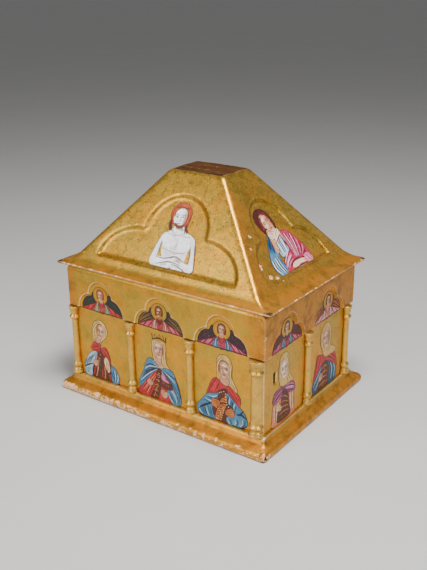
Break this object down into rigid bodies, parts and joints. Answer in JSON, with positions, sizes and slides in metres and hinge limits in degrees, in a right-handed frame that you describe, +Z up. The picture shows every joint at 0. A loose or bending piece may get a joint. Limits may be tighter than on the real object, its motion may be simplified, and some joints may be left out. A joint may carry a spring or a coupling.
{
  "type": "reliquary casket",
  "caption": "Gilded and painted wooden reliquary casket: open case with an arcade on turned colonnettes, moulded base board, and a hollow roof-shaped lid that lifts off.",
  "frame": {"origin": "centre of the underside of the base board", "axes": "+X along the long front, +Y from the front to the back, +Z up; the front faces -Y"},
  "size_m": [0.37, 0.286, 0.338],
  "materials": {
    "gilding": "gold leaf burnished over red bole and gesso on wood, rubbed and finely crazed",
    "gilt_base": "gold leaf over red bole and gesso on wood, chipped to pale gesso along the lip"
  },
  "bodies": {
    "root": {"base_board": "gilt_base", "case": "gilding", "colonnette_front_outer_left": "gilding", "colonnette_front_inner_left": "gilding", "colonnette_front_inner_right": "gilding", "colonnette_front_outer_right": "gilding", "colonnette_back_inner_left": "gilding", "colonnette_back_inner_right": "gilding", "colonnette_right_middle": "gilding", "colonnette_right_rear": "gilding", "colonnette_left_middle": "gilding", "colonnette_left_rear": "gilding", "lid": "gilding"}
  },
  "joints": []
}
